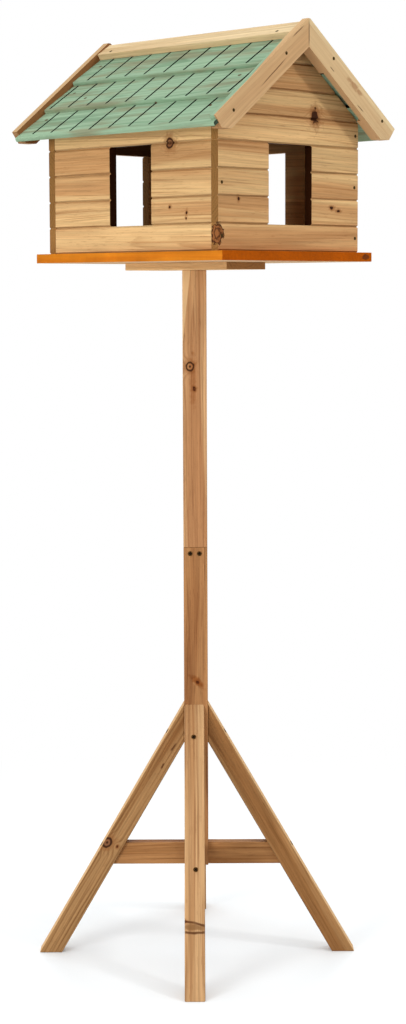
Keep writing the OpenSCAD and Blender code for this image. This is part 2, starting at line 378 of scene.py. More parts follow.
def welded(node):
    """A copy of a solid with its triangles joined back into flat faces."""
    solid = bmesh.new()
    solid.from_mesh(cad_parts[node].data)
    bmesh.ops.remove_doubles(solid, verts=solid.verts, dist=WELD)
    bmesh.ops.dissolve_limit(solid, angle_limit=FLAT, verts=solid.verts, edges=solid.edges)
    return solid


def ease(solid, size, chosen=None, segments=2, shortest=SHORTEST):
    """Rounds a solid's sharp outer edges, or only those that are chosen."""
    edges = []
    for edge in solid.edges:
        if edge.is_manifold and edge.is_convex and edge.calc_length() > shortest:
            if edge.calc_face_angle() > SHARP and (chosen is None or chosen(edge)):
                edges.append(edge)
    bmesh.ops.bevel(solid, geom=edges, offset=size, segments=segments, profile=0.5, affect="EDGES",
                    clamp_overlap=True)
    return solid


PITH_NEAR, PITH_FAR = 0.02, 0.05
PITH_BESIDE = 0.03
PITH_LENGTH = 6
SLOPE_BESIDE, SLOPE_DEEP = 0.03, 0.02
CUT_END = 0.75


def fit(node, solid, run, facing, finish, board_of=None, mark_of=None):
    """Gives a piece its grain along the run, its marks and finish, and sets it in its node's place.

    Each board has its own pith, a slight slope of grain and a tone, from a seed of the node's name.
    """
    mesh = bpy.data.meshes.new("planed_" + node)
    solid.to_mesh(mesh)
    solid.free()
    across = facing.cross(run)
    low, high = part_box(node)
    middle = (low + high) / 2
    boards = {}
    grain = []
    marks = []
    for face in mesh.polygons:
        board = board_of(face.center) if board_of else 0
        if board not in boards:
            chance = random.Random(f"{node} {board}")
            depth = chance.choice((-1, 1)) * chance.uniform(PITH_NEAR, PITH_FAR)
            pith = Vector((chance.uniform(0, PITH_LENGTH), chance.uniform(-PITH_BESIDE, PITH_BESIDE), depth))
            slope = [chance.uniform(-most, most) for most in (SLOPE_BESIDE, SLOPE_DEEP)]
            boards[board] = pith, slope, chance.uniform(-1, 1)
        pith, slope, tone = boards[board]
        end = 1.0 if abs(face.normal.dot(run)) > CUT_END else 0.0
        mark = mark_of(face.center, face.normal) if mark_of else 0.0
        for vertex in face.vertices:
            place = mesh.vertices[vertex].co - middle
            length = place.dot(run)
            side = place.dot(across) + slope[0] * length
            depth = place.dot(facing) + slope[1] * length
            grain.extend(pith + Vector((length, side, depth)))
            marks.extend((tone, end, mark))
    mesh.attributes.new("grain", "FLOAT_VECTOR", "CORNER").data.foreach_set("vector", grain)
    mesh.attributes.new("marks", "FLOAT_VECTOR", "CORNER").data.foreach_set("vector", marks)
    mesh.materials.append(finish)
    piece = bpy.data.objects.new("planed_" + node, mesh)
    scene.collection.objects.link(piece)
    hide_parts(node)
    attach(piece, "root")
    return piece


def on_post(beside, height):
    """A place on the post's front face."""
    return post_axis + POST_FACING * post_half + POST_BESIDE * beside + UP * height


WEDGE_FOOT = 1.035
WEDGE_WIDTH = 0.0135
WEDGE_SOFT = 0.0008
WEDGE_SHARE = 0.8
FLARE_SHARE = 0.6
post_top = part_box("upper_post")[1].z
upper_knots = [(on_post(-0.001, 0.962), 0.0029, 1.5, UP)]
upper_eyes = [(on_post(-0.008, 0.999), 0.0072, 1.15, UP)]
upper_flare = (on_post(-0.003, 0.975), 0.0032, 9.0, UP)
lower_knots = [(on_post(0.0028, 0.4685), 0.0028, 1.5, (POST_BESIDE * 2 - UP).normalized())]
lower_swirl = (on_post(0.002, 0.4695), 0.0036, 2.6, (UP - POST_BESIDE).normalized())
upper_finish, tree, wood, colour = timber("reddish_fir_post", UPPER_POST, POST_RING, RING_DEPTH,
                                          upper_knots, upper_eyes)
at = place_on(tree)
post_side = post_axis.dot(POST_BESIDE) - post_half
from_edge = sums(tree, "SUBTRACT", reach_along(tree, at, POST_BESIDE), post_side)
wedge = add(tree, "MapRange", add(tree, "SeparateXYZ", at)[2], WEDGE_FOOT, post_top, 0.0, WEDGE_WIDTH)[0]
pale = ramp(tree, sums(tree, "SUBTRACT", from_edge, wedge), WEDGE_SOFT, -WEDGE_SOFT)
colour = painted(tree, colour, POST_EDGE, pale, WEDGE_SHARE)
flare = knot_in(tree, upper_flare)["Halo"]
colour = painted(tree, colour, FLARE, flare, FLARE_SHARE, blend_type="MULTIPLY")
varnish(tree, colour, wood)
fit("upper_post", ease(welded("upper_post"), POST_EASE), UP, POST_FACING, upper_finish)
lower_finish, tree, wood, colour = timber("brown_fir_post", LOWER_POST, POST_RING, RING_DEPTH, lower_knots)
colour = painted(tree, colour, FLARE, knot_in(tree, lower_swirl)["Halo"], blend_type="MULTIPLY")
varnish(tree, colour, wood)
fit("lower_post", ease(welded("lower_post"), POST_EASE), UP, POST_FACING, lower_finish)

# Legs: four square fir lengths that lean out from the post, cut plumb against it and level at the foot.
# Each is planed like the post, with eased edges. The side legs' wood is a darker copy of the front legs' as
# painted shade, with painted light on their upper faces. The front one has a spike knot cut across near its
# foot, and the left one a sound knot and two short dark dashes along its side.
LEG_EASE = 0.0015
LEG_HALF = 0.0165
FRONT_LEG = (200, 158, 112), (176, 130, 86), (138, 90, 53)
# The side legs' darker wood is painted shade, and their upper faces take painted light.
SHADED_SIDE_LEG = (176, 134, 88), (154, 108, 64), (118, 76, 40)
LIT_LEG_TOP = (224, 182, 130)
LIT_TOP_SHARE = 0.85
LEG_TOP_FACES = 0.6
WIDE_RING = 0.006
LEG_RING_DEPTH = 0.8
LINE_DARK = (84, 46, 24)
LINE_SHAKE = 60.0
LINE_SOFT = 1.0, 0.3
LINE_TAPER = 0.55, 0.2
LINE_SHARE = 0.85
SPIKE_BROWN = (124, 86, 50)
SPIKE_SHARE = 0.75
EYE_BROWN = (134, 88, 62)

hairline, given, gives = new_group(
    "hairline", {"At": "Vector", "From": "Vector", "To": "Vector", "Width": "Float", "Wobble": "Float"},
    {"Mask": "Float"})
shake = add(hairline, "TexNoise", given["At"], None, LINE_SHAKE, 2.0, 0.5)[1]
shift = add(hairline, "VectorMath", shake, (0.5, 0.5, 0.5), operation="SUBTRACT")[0]
shift = scaled(hairline, shift, given["Wobble"])
offset = add(hairline, "VectorMath", given["At"], given["From"], operation="SUBTRACT")[0]
offset = add(hairline, "VectorMath", offset, shift, operation="ADD")[0]
reach = add(hairline, "VectorMath", given["To"], given["From"], operation="SUBTRACT")[0]
along = sums(hairline, "DIVIDE", reach_along(hairline, offset, reach), reach_along(hairline, reach, reach))
nearest = scaled(hairline, reach, add(hairline, "Clamp", along, 0.0, 1.0)[0])
apart = add(hairline, "VectorMath", offset, nearest, operation="DISTANCE")[1]
stroke = ramp(hairline, sums(hairline, "DIVIDE", apart, given["Width"]), *LINE_SOFT)
from_half = gap(hairline, along, 0.5)
taper = ramp(hairline, from_half, *LINE_TAPER)
give(hairline, gives, {"Mask": sums(hairline, "MULTIPLY", stroke, taper)})


def lined(tree, colour, lines, width, wobble):
    """A colour with fine dark lines drawn on it, each between two places."""
    for start, end in lines:
        values = {"At": place_on(tree), "From": start, "To": end, "Width": width, "Wobble": wobble}
        colour = painted(tree, colour, LINE_DARK, use(tree, hairline, values)["Mask"], LINE_SHARE)
    return colour


def furthest(node, way):
    """How far a solid reaches along a way."""
    return max(vertex.co.dot(way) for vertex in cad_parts[node].data.vertices)


leg_ways = {}
for side in ("front", "right", "rear", "left"):
    leg = f"{side}_leg"
    low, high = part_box(leg)
    outward = Vector(((low.x + high.x) / 2, (low.y + high.y) / 2, 0)) - post_axis
    outward = max((POST_FACING, POST_BESIDE, -POST_FACING, -POST_BESIDE), key=outward.dot)
    spread = furthest(leg, outward) + furthest(leg, -outward)
    run = (outward * spread - UP * (high.z - low.z)).normalized()
    leg_ways[side] = outward, run, UP.cross(outward)
leg_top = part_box("front_leg")[1].z


def on_leg(side, out, beside):
    """A place on a leg's upper face, by its distance out from the post's middle."""
    outward, run, across = leg_ways[side]
    fall = (out - post_half) * run.z / run.dot(outward)
    return post_axis + outward * out + across * beside + UP * (leg_top + fall)


def on_left_side(out, height):
    """A place on the left leg's front side, by its distance out from the post's middle."""
    return post_axis + POST_FACING * LEG_HALF - POST_BESIDE * out + UP * height


front_across = leg_ways["front"][2]
left_run = leg_ways["left"][1]
leg_knots = {
    "front": [(on_leg("front", 0.2045, -0.0187), 0.0026, 1.0, front_across)],
    "left": [(on_left_side(0.135, 0.185), 0.0026, 1.2, left_run)],
}
leg_eyes = {"left": [(on_left_side(0.152, 0.192), 0.0085, 1.15, left_run)]}
spike_knot = (on_leg("front", 0.2092, -0.005), 0.0034, 4.0, front_across)
spike_lines = [(on_leg("front", 0.2043, -0.024), on_leg("front", 0.2055, -0.001)),
               (on_leg("front", 0.205, -0.008), on_leg("front", 0.2088, 0.0185)),
               (on_leg("front", 0.213, -0.024), on_leg("front", 0.2142, 0.002)),
               (on_leg("front", 0.2142, -0.008), on_leg("front", 0.213, 0.0185))]
dash_lines = [(on_left_side(0.0435, 0.349), on_left_side(0.033, 0.364)),
              (on_left_side(0.06, 0.318), on_left_side(0.054, 0.33))]
SPIKE_WIDTH, DASH_WIDTH, LINE_WOBBLE = 0.003, 0.0022, 0.003
for side, (outward, run, across) in leg_ways.items():
    woods = FRONT_LEG if side in ("front", "rear") else SHADED_SIDE_LEG
    leg = f"{side}_leg"
    knots, eyes = leg_knots.get(side, ()), leg_eyes.get(side, ())
    finish, tree, wood, colour = timber(f"fir_{leg}", woods, WIDE_RING, LEG_RING_DEPTH, knots, eyes,
                                        EYE_BROWN, shade=LIT_LEG_TOP)
    if side == "front":
        colour = painted(tree, colour, SPIKE_BROWN, knot_in(tree, spike_knot)["Halo"], SPIKE_SHARE)
        colour = lined(tree, colour, spike_lines, SPIKE_WIDTH, LINE_WOBBLE)
    if side == "left":
        colour = lined(tree, colour, dash_lines, DASH_WIDTH, LINE_WOBBLE)
    varnish(tree, colour, wood)
    upper_face = run.cross(across)

    def lit_top_mark(centre, normal):
        """How much painted light a face of this leg takes: only the side legs' upper faces take it."""
        on_top = normal.dot(upper_face) > LEG_TOP_FACES
        return LIT_TOP_SHARE if woods is SHADED_SIDE_LEG and on_top else 0.0

    fit(leg, ease(welded(leg), LEG_EASE), run, across, finish, mark_of=lit_top_mark)

# Braces: four thin fir rails, set level and on edge between the post and the legs.
# They are planed all round, with their edges just eased, and screwed from outside, through the legs.
THIN_EASE = 0.0008
FINE_RING = 0.005
BRACE = (180, 130, 82), (152, 102, 58), (116, 72, 38)


def plain_timber(*looks, **more):
    """A timber with nothing else on it."""
    material, tree, wood, colour = timber(*looks, **more)
    varnish(tree, colour, wood)
    return material


brace_finish = plain_timber("fir_brace", BRACE, FINE_RING, RING_DEPTH)
for side, (outward, run, across) in leg_ways.items():
    brace = f"{side}_brace"
    fit(brace, ease(welded(brace), THIN_EASE), outward, across, brace_finish)

# Screws: dull steel countersunk heads with a cross recess, a little browned by the weather.
# The recess faces take painted shade.
# Two are driven through the post's lap, and two through each leg, one into the post and one into the brace.
SCREW_RADIUS = 0.0041
SCREW_PROUD = 0.0006
SCREW_SEAT = 0.0015
SCREW_TAPER = 0.8
SCREW_SIDES = 24
RECESS_DEPTH = 0.0005
RECESS_ARM = 0.7
RECESS_HALF = 0.26
STEEL = (104, 72, 34)
RECESS_SHADE = (26, 14, 6)
STEEL_SPOTS = 900.0
STEEL_BUMP = 0.0001
STEEL_DULL = 0.6
STEEL_METALLIC = 0.15
STEEL_ROUGH = 0.45
SPOT_ROUGH = 0.2

driven_heads = bpy.data.node_groups.new("driven_heads", "GeometryNodeTree")
for label, kind in (("Places", "Geometry"), ("Head", "Object"), ("Finish", "Material"), ("Turn seed", "Int")):
    driven_heads.interface.new_socket(label, in_out="INPUT", socket_type="NodeSocket" + kind)
driven_heads.interface.new_socket("Heads", in_out="OUTPUT", socket_type="NodeSocketGeometry")


def grown(kind, links=None, **settings):
    """One node of the tree of heads, with its settings and the sockets that lead into it."""
    made = driven_heads.nodes.new(kind)
    for key, value in settings.items():
        setattr(made, key, value)
    for label, socket in (links or {}).items():
        driven_heads.links.new(socket, made.inputs[label])
    return made


given = grown("NodeGroupInput").outputs
facing_out = grown("GeometryNodeInputNamedAttribute", data_type="FLOAT_VECTOR")
facing_out.inputs["Name"].default_value = "facing"
upright = grown("FunctionNodeAlignRotationToVector", {"Vector": facing_out.outputs[0]}, axis="Z")
turn = grown("FunctionNodeRandomValue", {"Seed": given["Turn seed"]})
turn.inputs[3].default_value = math.tau
spin = grown("FunctionNodeAxisAngleToRotation", {"Angle": turn.outputs[1]})
rotations = {0: upright.outputs[0], 1: spin.outputs[0]}
turned = grown("FunctionNodeRotateRotation", rotations, rotation_space="LOCAL")
shape = grown("GeometryNodeObjectInfo", {"Object": given["Head"]}).outputs["Geometry"]
placing = {"Points": given["Places"], "Instance": shape, "Rotation": turned.outputs[0]}
placed = grown("GeometryNodeInstanceOnPoints", placing)
real = grown("GeometryNodeRealizeInstances", {0: placed.outputs[0]})
steeled = grown("GeometryNodeSetMaterial", {"Geometry": real.outputs[0], "Material": given["Finish"]})
grown("NodeGroupOutput", {0: steeled.outputs[0]})


def heads(name, head, places, finish):
    """Fixings of one kind: a head at each place, turned to face out, as one plain mesh."""
    points = bpy.data.meshes.new(name)
    points.from_pydata([place for place, facing in places], [], [])
    facings = [part for place, facing in places for part in facing]
    points.attributes.new("facing", "FLOAT_VECTOR", "POINT").data.foreach_set("vector", facings)
    piece = bpy.data.objects.new(name, points)
    scene.collection.objects.link(piece)
    driven = piece.modifiers.new("driven", "NODES")
    driven.node_group = driven_heads
    for socket in driven_heads.interface.items_tree:
        if socket.name in ("Head", "Finish"):
            driven[socket.identifier] = head if socket.name == "Head" else finish
    evaluated = piece.evaluated_get(bpy.context.evaluated_depsgraph_get())
    piece.data = bpy.data.meshes.new_from_object(evaluated)
    piece.modifiers.remove(driven)
    bpy.data.objects.remove(head)
    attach(piece, "root")
    return piece


def steel(name, colour, roughness):
    """A dull steel with a little unevenness in its colour, gloss and surface, and painted shade where faces
    are marked as a recess.
    """
    material = bpy.data.materials.new(name)
    material.use_nodes = True
    tree = material.node_tree
    spots = add(tree, "TexNoise", place_on(tree), None, STEEL_SPOTS, 2.0, 0.6)[0]
    uneven = painted(tree, tint(colour), [part * STEEL_DULL for part in colour], spots)
    uneven = painted(tree, uneven, RECESS_SHADE, add(tree, "Attribute", attribute_name="recess")[2])
    tree.nodes["Principled BSDF"].inputs["Metallic"].default_value = STEEL_METALLIC
    surface = {"Roughness": linear(tree, spots, SPOT_ROUGH, roughness), "Height": spots}
    varnish(tree, uneven, surface, STEEL_BUMP)
    return material


def screw_head():
    """A flat round head with a cross recess."""
    solid = bmesh.new()
    rim = []
    for step in range(SCREW_SIDES):
        angle = step * math.tau / SCREW_SIDES
        x, y = SCREW_RADIUS * math.cos(angle), SCREW_RADIUS * math.sin(angle)
        rim.append(solid.verts.new((x, y, SCREW_PROUD)))
    half = SCREW_RADIUS * RECESS_HALF
    arm = SCREW_RADIUS * RECESS_ARM
    quarter = [(arm, -half), (arm, half), (half, half)]
    cross = []
    for turn_x, turn_y in ((1, 0), (0, 1), (-1, 0), (0, -1)):
        for x, y in quarter:
            cross.append(solid.verts.new((x * turn_x - y * turn_y, x * turn_y + y * turn_x, SCREW_PROUD)))
    loops = []
    for ring in (rim, cross):
        loops += [solid.edges.new((ring[step - 1], ring[step])) for step in range(len(ring))]
    bmesh.ops.triangle_fill(solid, edges=loops, use_beauty=True, use_dissolve=False, normal=(0, 0, 1))
    for ring, drop, shrink in ((rim, SCREW_SEAT, SCREW_TAPER), (cross, RECESS_DEPTH, 1.0)):
        lower = [solid.verts.new((v.co.x * shrink, v.co.y * shrink, v.co.z - drop)) for v in ring]
        for step in range(len(ring)):
            solid.faces.new((ring[step - 1], ring[step], lower[step], lower[step - 1]))
        solid.faces.new(lower)
    bmesh.ops.recalc_face_normals(solid, faces=solid.faces)
    mesh = bpy.data.meshes.new("screw_head")
    solid.to_mesh(mesh)
    solid.free()
    # The faces sunk in the cross recess are marked for painted shade.
    sunk = SCREW_PROUD - RECESS_DEPTH / 4
    cut = [float(face.center.xy.length < arm and face.center.z < sunk) for face in mesh.polygons]
    mesh.attributes.new("recess", "FLOAT", "FACE").data.foreach_set("value", cut)
    return bpy.data.objects.new("screw_head", mesh)


LAP_SCREWS = (-0.0087, 0.6867), (0.0066, 0.6866)
POST_SCREW, BRACE_SCREW = 0.049, 0.162
FRONT_BESIDE = -0.0041
screw_places = [(on_post(*place), POST_FACING) for place in LAP_SCREWS]
for side, (outward, run, across) in leg_ways.items():
    upper_face = run.cross(across)
    beside = FRONT_BESIDE if side == "front" else 0.0
    screw_places.append((on_leg(side, POST_SCREW, beside), upper_face))
    screw_places.append((on_leg(side, BRACE_SCREW, beside / 3), upper_face))
heads("stand_screws", screw_head(), screw_places, steel("dull_steel", STEEL, STEEL_ROUGH))

# Block: a short fir board across the post's top, that carries the platform. Its wood is painted paler than
# the walls' as painted light, for the light it lacks under the platform. It is screwed down into the post's
# end.
# Its own cut ends are a shade darker than its sides.
ALONG = Vector((1, 0, 0))
# Painted light: paler woods for the block in the platform's shade.
LIT_BLOCK = (246, 206, 150), (230, 184, 128), (190, 140, 88)
LIT_BLOCK_END = (176, 126, 76)
block_finish = plain_timber("pale_fir_block", LIT_BLOCK, FINE_RING, RING_DEPTH, end_wood=LIT_BLOCK_END)
fit("post_block", ease(welded("post_block"), THIN_EASE), ALONG, UP, block_finish)

# Platform: one board with an orange wood stain on its top and edges. Its underside is left bare.
# The stain sinks deeper and darker into the two cut ends, one with a knot at its corner.
ORANGE = (212, 125, 28)
ORANGE_DEEP = (190, 96, 14)
ORANGE_END = (176, 82, 0)
BARE = (224, 190, 146), (206, 166, 120), (176, 128, 82)
STAIN_BLOTCH = 17.0
BLOTCH_LEVEL, ORANGE_STREAK, ORANGE_LEAST = 0.7, 0.5, 0.38
END_KNOT_SHARE = 0.7
FACES = 0.7
ACROSS = Vector((0, 1, 0))
platform_low, platform_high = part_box("platform")
platform_mid = (platform_low.z + platform_high.z) / 2
end_knot = ((platform_high.x, 0.159, platform_mid), 0.006, 1.6, ACROSS)
orange_finish, tree, wood, colour = timber("orange_stained_fir", BARE, WIDE_RING, RING_DEPTH, shade=None)
end_face, bare = marks_of(tree)[1:]
stain = painted(tree, tint(ORANGE), ORANGE_DEEP, wood["Late"])
stain = painted(tree, stain, ORANGE_END, end_face)
blotch = add(tree, "TexNoise", place_on(tree), None, STAIN_BLOTCH, 3.0, 0.6)[0]
streaks = linear(tree, wood["Streak"], ORANGE_STREAK, ORANGE_LEAST)
stain = scaled(tree, stain, linear(tree, blotch, BLOTCH_LEVEL, streaks))
stain = painted(tree, stain, KNOT_DARK, knot_in(tree, end_knot)["Core"], END_KNOT_SHARE)
varnish(tree, mixed(tree, bare, stain, colour), wood)
fit("platform", ease(welded("platform"), THIN_EASE), ALONG, UP, orange_finish,
    mark_of=lambda centre, normal: 1.0 if normal.z < -FACES else 0.0)

# Walls: short fir boards with a V along each joint, nailed to each other at the corners.
# Each board keeps its own tone. The cuts round the windows and at the corners show dark end grain.
# Painted shade darkens the window cuts and the heads above them, fully in the front wall and the right gable
# and only a little in the others, and also the V joints' upper lips and the inner faces high up.
WALL_EASE = 0.0005
WALL = (219, 180, 126), (193, 146, 97), (158, 106, 60)
WALL_RING = 0.0052
WALL_RING_DEPTH = 0.42
EYE_RED = (116, 64, 40)
WINDOW_REACH = 0.056
WINDOW_FOOT, WINDOW_HEAD, TOP_ROW = 0.8, 4.2, 4
# How much painted shade each marked place of a wall takes.
REVEAL_SHADE_NEAR = 1.0
REVEAL_SHADE_FAR = 0.1
UNDER_ROOF_SHADE = 0.85
UNDER_EAVE_SHADE = 0.25
JOINT_LIP_SHADE = 0.35
LIP_OUT, LIP_DOWN = 0.3, 0.5
LOOKS_LEVEL = 0.95
sill_low, sill_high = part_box("front_sill_board")
row_height = sill_high.z - sill_low.z
wall_base = sill_low.z
front_y = sill_low.y
gable_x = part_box("right_gable_sill_board")[1].x
wall_sides = {
    "front": (ALONG, -ACROSS),
    "rear": (ALONG, ACROSS),
    "right_gable": (ACROSS, ALONG),
    "left_gable": (ACROSS, -ALONG),
}
wall_knots = [((0.09, front_y, 1.254), 0.0028, 1.1, ALONG),
              ((0.127, front_y, 1.244), 0.0036, 0.7, ALONG),
              ((0.126, front_y, 1.236), 0.0022, 0.8, ALONG),
              ((gable_x, 0.058, 1.399), 0.0092, 1.35, UP),
              ((gable_x, -0.118, 1.265), 0.0036, 0.8, ACROSS),
              ((gable_x, 0.098, 1.256), 0.0028, 1.8, ACROSS),
              ((gable_x, 0.114, 1.251), 0.0024, 2.0, ACROSS)]
wall_eyes = [((0.0905, front_y, 1.3525), 0.0087, 1.0, ALONG)]
corner_knot = ((gable_x - 0.003, front_y, 1.2115), 0.0115, 1.25, UP)
CORNER_RINGS = (0.95, 0.9), (0.5, 0.75)
CORNER_SPAN = 1.05, 0.95
CORNER_LINE = 0.17, 0.06
CORNER_REACH = 0.0152
CORNER_SOFT = 0.0004
corner_edge = gable_x - CORNER_REACH
wall_finish, tree, wood, colour = timber("fir_wall", WALL, WALL_RING, WALL_RING_DEPTH, wall_knots,
                                         wall_eyes, EYE_RED)
from_middle = knot_in(tree, corner_knot)["Ragged"]
corner_wood = painted(tree, colour, KNOT_HALO, ramp(tree, from_middle, *CORNER_SPAN))
for ring, dark in CORNER_RINGS:
    from_ring = gap(tree, from_middle, ring)
    corner_wood = painted(tree, corner_wood, KNOT_DARK, ramp(tree, from_ring, *CORNER_LINE), dark)
along = reach_along(tree, place_on(tree), ALONG)
in_corner = ramp(tree, along, corner_edge - CORNER_SOFT, corner_edge)
varnish(tree, mixed(tree, in_corner, colour, corner_wood), wood)


def wall_shade(wall, run, facing):
    """Marks where a wall takes painted shade: the cuts round its window, the V joints' upper lips and high up
    inside.
    """
    def mark_of(centre, normal):
        row = (centre.z - wall_base) / row_height
        in_window = abs(centre.dot(run)) < WINDOW_REACH and WINDOW_FOOT < row < WINDOW_HEAD
        if in_window and (abs(normal.dot(run)) > FACES or normal.z < -LOOKS_LEVEL):
            return REVEAL_SHADE_NEAR if wall in ("front", "right_gable") else REVEAL_SHADE_FAR
        if normal.dot(facing) < -FACES and row > TOP_ROW:
            return UNDER_ROOF_SHADE if "gable" in wall else UNDER_EAVE_SHADE
        return JOINT_LIP_SHADE if normal.dot(facing) > LIP_OUT and normal.z < -LIP_DOWN else 0.0
    return mark_of


def wall_row(centre):
    """Which board of a wall a face is on, counted from the platform."""
    return int((centre.z - wall_base) / row_height)


for wall, (run, facing) in wall_sides.items():
    names = ["sill_board", "left_jamb", "right_jamb", "head_board"]
    if "gable" in wall:
        names.append("peak")
    for name in names:
        node = f"{wall}_{name}"
        fit(node, ease(welded(node), WALL_EASE), run, facing, wall_finish, wall_row,
            wall_shade(wall, run, facing))

# Wall nails: small round heads of dark steel, one in each gable board at each corner.
# They are driven through the gable boards into the long walls' ends, until they are level with the wood.
NAIL_RADIUS = 0.0028
NAIL_DOME = 0.0005
RUST = (80, 62, 30)
RUST_ROUGH = 0.5
GABLE_NAILS = ((-0.155, 1.289), (-0.155, 1.208), (0.154, 1.290), (0.156, 1.208), (0.156, 1.373),
               (-0.154, 1.372))


def nail_head():
    """A low round dome."""
    solid = bmesh.new()
    bmesh.ops.create_uvsphere(solid, u_segments=12, v_segments=6, radius=NAIL_RADIUS)
    bmesh.ops.scale(solid, vec=(1, 1, NAIL_DOME / NAIL_RADIUS), verts=solid.verts)
    mesh = bpy.data.meshes.new("nail_head")
    solid.to_mesh(mesh)
    solid.free()
    return bpy.data.objects.new("nail_head", mesh)


def both_ends(nails, x):
    """The places of nails on the right and left ends, from each one's distance across and height."""
    return [(facing * x + ACROSS * beside + UP * high, facing)
            for facing in (ALONG, -ALONG) for beside, high in nails]


rusty = steel("dark_steel", RUST, RUST_ROUGH)
heads("wall_nails", nail_head(), both_ends(GABLE_NAILS, gable_x), rusty)

# Roof courses: three lapped fir boards on each slope with a thin green stain that lets the grain show.
# Saw kerfs run up from near the lower edge, staggered from course to course. Their insides take painted
# shade, and the courses' right ends a slightly lighter painted shade.
GREEN = (150, 179, 148)
GREEN_DEEP = (108, 144, 112)
GREEN_WORN = (138, 132, 102)
# Painted shade for the kerfs' insides.
KERF_SHADE = (4, 16, 9)
GREEN_KNOT = (92, 76, 54)
ROOF_KNOT = 0.0034, 1.2, ALONG
WORN_PATCHES, WORN_SPAN = (6.0, 40.0), (0.47, 0.68)
DEEP_SHARE, WORN_SHARE = 0.8, 0.7
GREEN_STREAK, GREEN_LEAST = 0.9, 0.5
COURSE_ROUND = 0.0026
COURSE_EASE = 0.0006
KERF_EASE = 0.0009
KERF_DEEP = 0.0028
KERF_REACH = 0.218
END_SHADE = 0.85
ON_TOP = 0.0002
AT_FOOT = 0.001
AT_END = 0.014
RIM_FOOT, KERF_FOOT = 0.003, 0.0035
KERF_TOP = 0.0001
LOOKS_UP = 0.3
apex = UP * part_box("right_gable_peak")[1].z
slopes = {}
roof_knots = []
front_knots = {
    "upper": [(-0.2, 0.046), (0.178, 0.042)],
    "middle": [(-0.196, 0.126), (-0.148, 0.148), (0.182, 0.121)],
    "lower": [(-0.198, 0.202), (0.043, 0.178), (0.182, 0.202)],
}


def down_slope(side, facing):
    """The way down a slope from the ridge."""
    return ALONG.cross(facing) if side == "front" else facing.cross(ALONG)


for side in ("front", "rear"):
    for level in ("lower", "middle", "upper"):
        node = f"{side}_{level}_course"
        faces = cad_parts[node].data.polygons
        facing = max(faces, key=lambda face: face.area * (face.normal.z > LOOKS_UP)).normal.copy()
        down = down_slope(side, facing)
        top = furthest(node, facing)
        slopes[side, level] = facing, down, top
        for x, distance in front_knots[level] if side == "front" else ():
            place = apex + ALONG * x + down * distance
            roof_knots.append((place + facing * (top - place.dot(facing)), *ROOF_KNOT))
roof_finish, tree, wood = timber("green_stained_fir", BARE, WIDE_RING, RING_DEPTH, shade=None)[:3]
grain = add(tree, "Attribute", attribute_name="grain")[1]
worn = ramp(tree, stretched_noise(tree, grain, WORN_PATCHES, 3.0), *WORN_SPAN)


def streaked(tree, stain, streak):
    """A stain that is thinner and thicker in streaks along the grain."""
    return scaled(tree, stain, linear(tree, streak, GREEN_STREAK, GREEN_LEAST))


stain = painted(tree, tint(GREEN), GREEN_DEEP, wood["Late"], DEEP_SHARE)
stain = painted(tree, stain, GREEN_WORN, worn, WORN_SHARE)
stain = streaked(tree, stain, wood["Streak"])
for spec in roof_knots:
    stain = painted(tree, stain, GREEN_KNOT, knot_in(tree, spec)["Core"])
# Painted shade inside the kerfs and on the courses' right ends.
stain = painted(tree, stain, KERF_SHADE, marks_of(tree)[2])
varnish(tree, stain, wood)


def round_butt(solid, facing, down):
    """Rounds over a course's lower top edge and eases its outline and the kerfs' rims."""
    top = max(vertex.co.dot(facing) for vertex in solid.verts)
    foot = max(vertex.co.dot(down) for vertex in solid.verts)
    ends = max(abs(vertex.co.x) for vertex in solid.verts)

    def middle(edge):
        return (edge.verts[0].co + edge.verts[1].co) / 2

    def lower_top(edge):
        return middle(edge).dot(facing) > top - ON_TOP and middle(edge).dot(down) > foot - AT_FOOT

    def outline(edge):
        return middle(edge).dot(down) > foot - AT_FOOT or abs(middle(edge).x) > ends - AT_END

    def kerf_rim(edge):
        inside = middle(edge).dot(down) < foot - RIM_FOOT and abs(middle(edge).x) < KERF_REACH
        return inside and min(vertex.co.dot(facing) for vertex in edge.verts) > top - ON_TOP

    ease(solid, KERF_EASE, kerf_rim, 1, 0.0)
    ease(solid, COURSE_ROUND, lower_top, 5)
    return ease(solid, COURSE_EASE, outline)


def kerf_mark(facing, down, top, foot):
    """Marks the faces inside a course's saw kerfs for painted shade, and its right end beside the bargeboard
    for a slightly lighter painted shade.
    """
    def mark_of(centre, normal):
        below = top - centre.dot(facing)
        inside = abs(centre.x) < KERF_REACH and centre.dot(down) < foot - KERF_FOOT
        if normal.x > FACES and not inside:
            return END_SHADE
        return 1.0 if inside and KERF_TOP < below < KERF_DEEP else 0.0
    return mark_of


for (side, level), (facing, down, top) in slopes.items():
    node = f"{side}_{level}_course"
    fit(node, round_butt(welded(node), facing, down), ALONG, facing, roof_finish,
        mark_of=kerf_mark(facing, down, top, furthest(node, down)))

# Ridge boards: one plain pale fir board along each side of the ridge, with its edges just eased.
# They lie over the upper courses' top edges, meet along the apex and are nailed down through the courses.
RIDGE = (221, 199, 158), (206, 178, 134), (180, 144, 98)
RIDGE_RING_DEPTH = 0.4
ridge_finish = plain_timber("pale_fir_ridge", RIDGE, FINE_RING, RIDGE_RING_DEPTH)
for side in ("front", "rear"):
    node = f"{side}_ridge_board"
    fit(node, ease(welded(node), THIN_EASE), ALONG, slopes[side, "upper"][0], ridge_finish)

